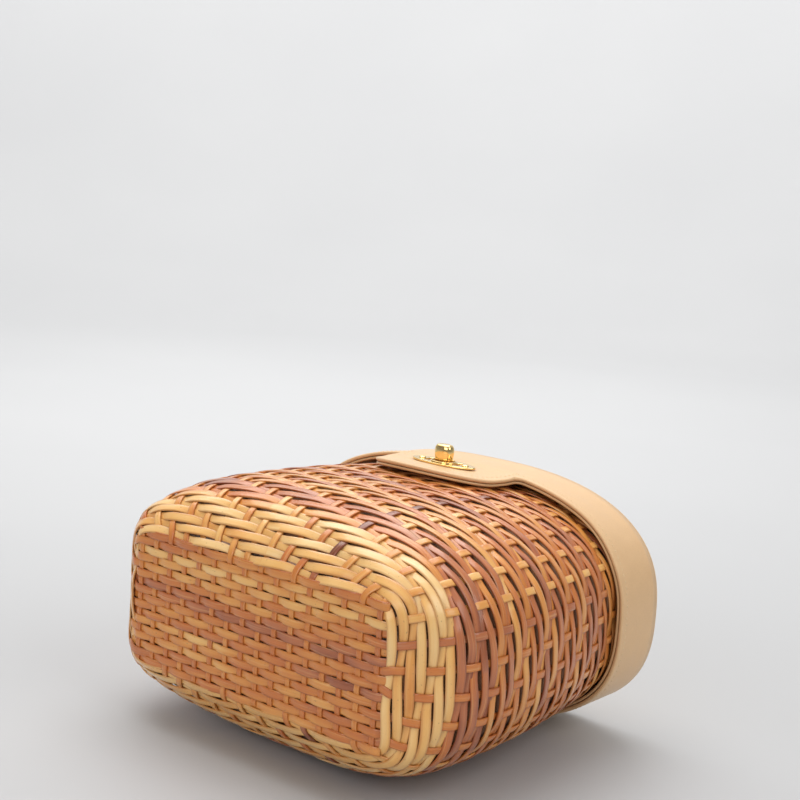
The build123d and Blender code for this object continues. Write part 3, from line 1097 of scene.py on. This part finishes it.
def lining_cloth_piece():
    """The basket's cloth lining: puckered where it is gathered at the rim, and slack lower down."""
    inside, floor = LINING_OUTSET - LINING_THICK, LINING_FLOOR + LINING_THICK
    heights = np.concatenate([np.linspace(4.2 * MM, 12 * MM, 6), np.linspace(16 * MM, RIM, 44)])
    phase = rng.uniform(0, 6, 6)
    middle = np.array([0, BASE_Y + floor, MID_Z])
    loops = [middle + (basket_loop(floor, inside) - middle) * f for f in (0.15, 0.4, 0.65, 0.85)]
    for h in heights:
        gather = 0.28 * MM * math.exp(-(RIM - h) / (14 * MM))
        slack = 0.45 * MM * math.sin(math.pi * min(h / RIM, 1)) ** 2
        waves = np.sin(46 * turn + phase[0] + 2 * np.sin(3 * turn)) * gather
        folds = (np.sin(5 * turn + h * 60 + phase[1]) * np.sin(9 * turn - h * 90 + phase[2]) - 1) * slack
        loops.append(basket_loop(h, inside, waves - gather + folds))
    loops += [basket_loop(h, LINING_OUTSET) for h in (*heights[::-6], LINING_FLOOR)]
    faces = [tuple(f) for f in grid_faces(AROUND, len(loops), True, False, flip=True)]
    faces.append(tuple(i * len(loops) for i in range(AROUND)))
    faces.append(tuple((i + 1) * len(loops) - 1 for i in range(AROUND))[::-1])
    obj = new_object("basket_lining_cloth", np.stack(loops, 1), faces)
    assign(obj, lining_cloth)
    return obj


def seam_line(name, h, outset, outward):
    """A line of stitches right round the basket at one height."""
    loop = basket_loop(h, outset)
    closed = np.concatenate([loop, loop[:1]])
    at = stitch_places(run_length(closed)[-1])
    step = 0.2 * MM
    points = spaced(closed, at)
    alongs = unit(spaced(closed, at + step) - spaced(closed, at - step))
    outs = np.cross(alongs, [0.0, 1.0, 0.0])
    outs *= np.sign(np.sum(outs * (points - [0, 0, MID_Z]), 1))[:, None] * outward
    return stitches(name, points, outs, alongs)


def depth_at(x, a, c, n):
    """How far from the middle a superellipse's front is, at a distance x to the side."""
    return c * (1 - abs(x / a) ** n) ** (1 / n)


def strap_leather():
    """The strap at the back: sewn to the basket, and turned up inside the lid's back."""
    across, along = 25, 30
    low, high = strap_low.y - BASE_Y, LID_EDGE + STRAP_UP
    sides = []
    for layer in (1, -1):
        for h in np.linspace(low, high, along):
            for u in np.linspace(-1, 1, across):
                x = STRAP_HALF * u
                edge = max(abs(u) - 0.93, 0) / 0.07
                end = max((low + STRAP_EDGE - h) / STRAP_EDGE, (h - high + STRAP_EDGE) / STRAP_EDGE, 0)
                thick = STRAP_THICK * math.sqrt(max(0.04, 1 - max(edge, end) ** 2))
                inside = float(fade(h, LID_EDGE - 3 * MM, LID_EDGE + 2 * MM))
                wall_z = depth_at(x, half_width(h), half_depth(h), power(h)) + 0.9 * MM
                lid_z = depth_at(x, LID_A - LID_INSIDE, LID_C - LID_INSIDE, LID_POWER)
                reach = wall_z * (1 - inside) + max(lid_z, wall_z - 0.2 * MM) * inside
                sides.append((x, BASE_Y + h, MID_Z - reach - layer * thick))
    n = along * across
    faces = [tuple(f) for f in grid_faces(along, across, False, False, flip=True)]
    faces += [tuple(f) for f in grid_faces(along, across, False, False, n)]
    border = [j for j in range(across)] + [i * across + across - 1 for i in range(1, along)]
    border += [n - 1 - j for j in range(1, across)] + [(along - 1 - i) * across for i in range(1, along - 1)]
    faces += [(a, b, b + n, a + n) for a, b in zip(border, border[1:] + border[:1])]
    obj = new_object("hinge_strap_leather", sides, faces)
    assign(obj, leather)
    return obj


def lid_cloth_piece():
    """The cloth under the lid's top, a little slack between its edges."""
    low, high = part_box("lid_lining")
    x0, z0 = outline((high.x - low.x) / 2, (high.z - low.z) / 2, LID_POWER, turn)
    upper = [(0.02, 0.0), (0.5, 0.0), (0.97, 0.0), (1.0, 0.2 * MM)]
    rings = [(f, high.y - down + 0 * turn) for f, down in upper] + [(1.0, low.y + 0.2 * MM + 0 * turn)]
    for f in (0.985, 0.95, 0.9, 0.82, 0.74, 0.66, 0.58, 0.5, 0.42, 0.34, 0.26, 0.18, 0.1, 0.02):
        sag = 0.5 * MM * (1 - f * f) * (0.6 + 0.4 * np.sin(3 * turn + 7 * f))
        pucker = 0.22 * MM * max(0, f - 0.8) / 0.2 * np.sin(60 * turn)
        rings.append((f, low.y - (sag + np.abs(pucker)) * min(1, (1 - f) * 20)))
    obj = loop_piece("lid_lining_cloth", [np.stack([x0 * f, y, MID_Z + z0 * f], -1) for f, y in rings], True)
    assign(obj, lid_cloth)
    return obj


# ---- Build ----


def finish_piece(obj, body, slot, *replaced):
    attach(obj, body)
    if replaced:
        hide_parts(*replaced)


def bend_piece(obj, fixed, moving, start, end, slot, *replaced):
    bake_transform(obj)
    if replaced:
        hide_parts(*replaced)


finish_piece(side_rows("cane_rows_low", 0, ROWS // 2), "basket", "cane", "basket_sides")
finish_piece(side_rows("cane_rows_high", ROWS // 2, ROWS), "basket", "cane")
finish_piece(front_back_stakes(), "basket", "cane")
short_rows, long_rows = base_rows()
finish_piece(short_rows, "basket", "cane", "basket_base")
finish_piece(long_rows, "basket", "cane")

outer = lid_skin("lid_leather", 0.0, 0.0, OUTER_THICK, TOP_SEAM + 0.4 * MM)
inner = lid_skin("lid_leather_inner", INNER_INSET, OUTER_THICK + SKIN_GAP, INNER_THICK, TOP_SEAM - 0.2 * MM)
for skin in (outer, inner):
    cut_slot(skin, *KNOB_HOLE)
assign(outer, leather)
assign(inner, edge_leather)
lid_front = MID_Z + LID_C
hinge_point = (0.0, BASE_Y + LID_EDGE - BEND_START, lid_front)
tip_point = (0.0, BASE_Y + LID_EDGE - BEND_END, lid_front)
bend_piece(outer, "lid", "tongue", hinge_point, tip_point, "leather", "lid_band", "tongue_outer")
bend_piece(inner, "lid", "tongue", hinge_point, tip_point, "leather", "band_lining", "tongue_lining")
bend_piece(edge_stitches(), "lid", "tongue", hinge_point, tip_point, "leather")
finish_piece(top_stitches(), "lid", "leather")

knob = knob_piece()
assign(knob, gold)
finish_piece(knob, "knob", "brass", "turn_knob")
plate = plate_piece()
assign(plate, gold)
finish_piece(plate, "tongue", "brass", "lock_plate", "plate_rivet_left", "plate_rivet_right")

finish_piece(rim_leather(), "basket", "leather", "rim_binding")
finish_piece(lining_cloth_piece(), "basket", "lining", "basket_lining")
finish_piece(seam_line("rim_stitches_out", RIM_STITCH_H, RIM_OUTSET, 1), "basket", "leather")
finish_piece(seam_line("rim_stitches_in", RIM_STITCH_H, -RIM_INSET, -1), "basket", "leather")
strap_start = (0, BASE_Y + LID_EDGE - STRAP_BEND, strap_low.z)
strap_end = (0, BASE_Y + LID_EDGE + STRAP_BEND, strap_low.z)
bend_piece(strap_leather(), "basket", "lid", strap_start, strap_end, "leather", "hinge_strap")
finish_piece(lid_cloth_piece(), "lid", "lining", "lid_lining")
top = panel("lid_top_leather", TOP_SEAM, LID_TOP - 0.3 * MM, 1.9 * MM, 0.3 * MM)
assign(top, leather)
finish_piece(top, "lid", "leather", "lid_top")

for node in ("lock_base", "lock_backplate", "base_rivet_left", "base_rivet_right", "knob_retainer"):
    assign(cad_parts[node], gold)

# ---- Studio ----

FLOOR_RADIUS, SWEEP, WALL_TALL = 1.6, 1.1, 1.9
# The camera, fitted to the photograph
LENS, SENSOR, CLIP_START = 63.1, 36, 0.01
CAMERA_PLACE = (0.3709, -0.4490, 0.2228)
CAMERA_FORWARD = (-0.6273, 0.7661, -0.1397)
CAMERA_UP = (-0.1426, 0.0634, 0.9877)


def studio_floor():
    """A round floor that sweeps up into a wall on every side, far from the bag."""
    steps, count = 12, 96
    profile = [(0.02, 0.0), (0.5, 0.0), (FLOOR_RADIUS, 0.0)]
    for k in range(1, steps + 1):
        a = quarter(k, steps)
        profile.append((FLOOR_RADIUS + SWEEP * math.sin(a), SWEEP * (1 - math.cos(a))))
    profile.append((FLOOR_RADIUS + SWEEP, WALL_TALL))
    angle = full_turn(count)
    loops = [np.stack([r * np.cos(angle), r * np.sin(angle), np.full(count, h)], -1) for r, h in profile]
    faces = [tuple(f) for f in grid_faces(count, len(profile), True, False)]
    faces.append(tuple(i * len(profile) for i in range(count)))
    obj = new_object("studio_floor", np.stack(loops, 1), faces)
    assign(obj, floor_material())


def area_light(name, place, aim, size, power, colour=(1, 1, 1)):
    light = bpy.data.lights.new(name, "AREA")
    light.shape = "RECTANGLE"
    light.size, light.size_y = size
    light.energy = power
    light.color = colour
    obj = bpy.data.objects.new(name, light)
    obj.location = place
    obj.rotation_euler = (Vector(aim) - Vector(place)).to_track_quat("-Z", "Y").to_euler()
    bpy.context.scene.collection.objects.link(obj)


def world_light(colour, strength):
    world = bpy.data.worlds.new("studio_world")
    bpy.context.scene.world = world
    world.use_nodes = True
    background = world.node_tree.nodes["Background"]
    background.inputs[0].default_value = (*colour, 1)
    background.inputs[1].default_value = strength


def place_camera():
    camera = bpy.data.cameras.new("camera")
    camera.lens, camera.sensor_width, camera.clip_start = LENS, SENSOR, CLIP_START
    obj = bpy.data.objects.new("camera", camera)
    forward = Vector(CAMERA_FORWARD).normalized()
    right = forward.cross(Vector(CAMERA_UP)).normalized()
    up = right.cross(forward)
    facing = Matrix((right, up, -forward)).transposed().to_4x4()
    obj.matrix_world = Matrix.Translation(CAMERA_PLACE) @ facing
    bpy.context.scene.collection.objects.link(obj)
    bpy.context.scene.camera = obj


studio_floor()
bag_middle = (0, 0, MID_Z)
area_light("key", (-0.36, 0.25, 1.08), bag_middle, (1.15, 1.15), 12.3)
area_light("fill", (0.1, -1.2, 0.6), bag_middle, (1.0, 0.7), 5.0)
area_light("side", (1.0, -0.05, 0.75), bag_middle, (0.7, 0.7), 4.2)
area_light("backdrop_light", (-0.6, 0.8, 1.8), (-1.6, 1.9, 1.0), (2.6, 0.8), 55.0)
world_light((1.0, 0.985, 0.965), 0.54)
place_camera()
bpy.context.scene.view_settings.view_transform = "Standard"
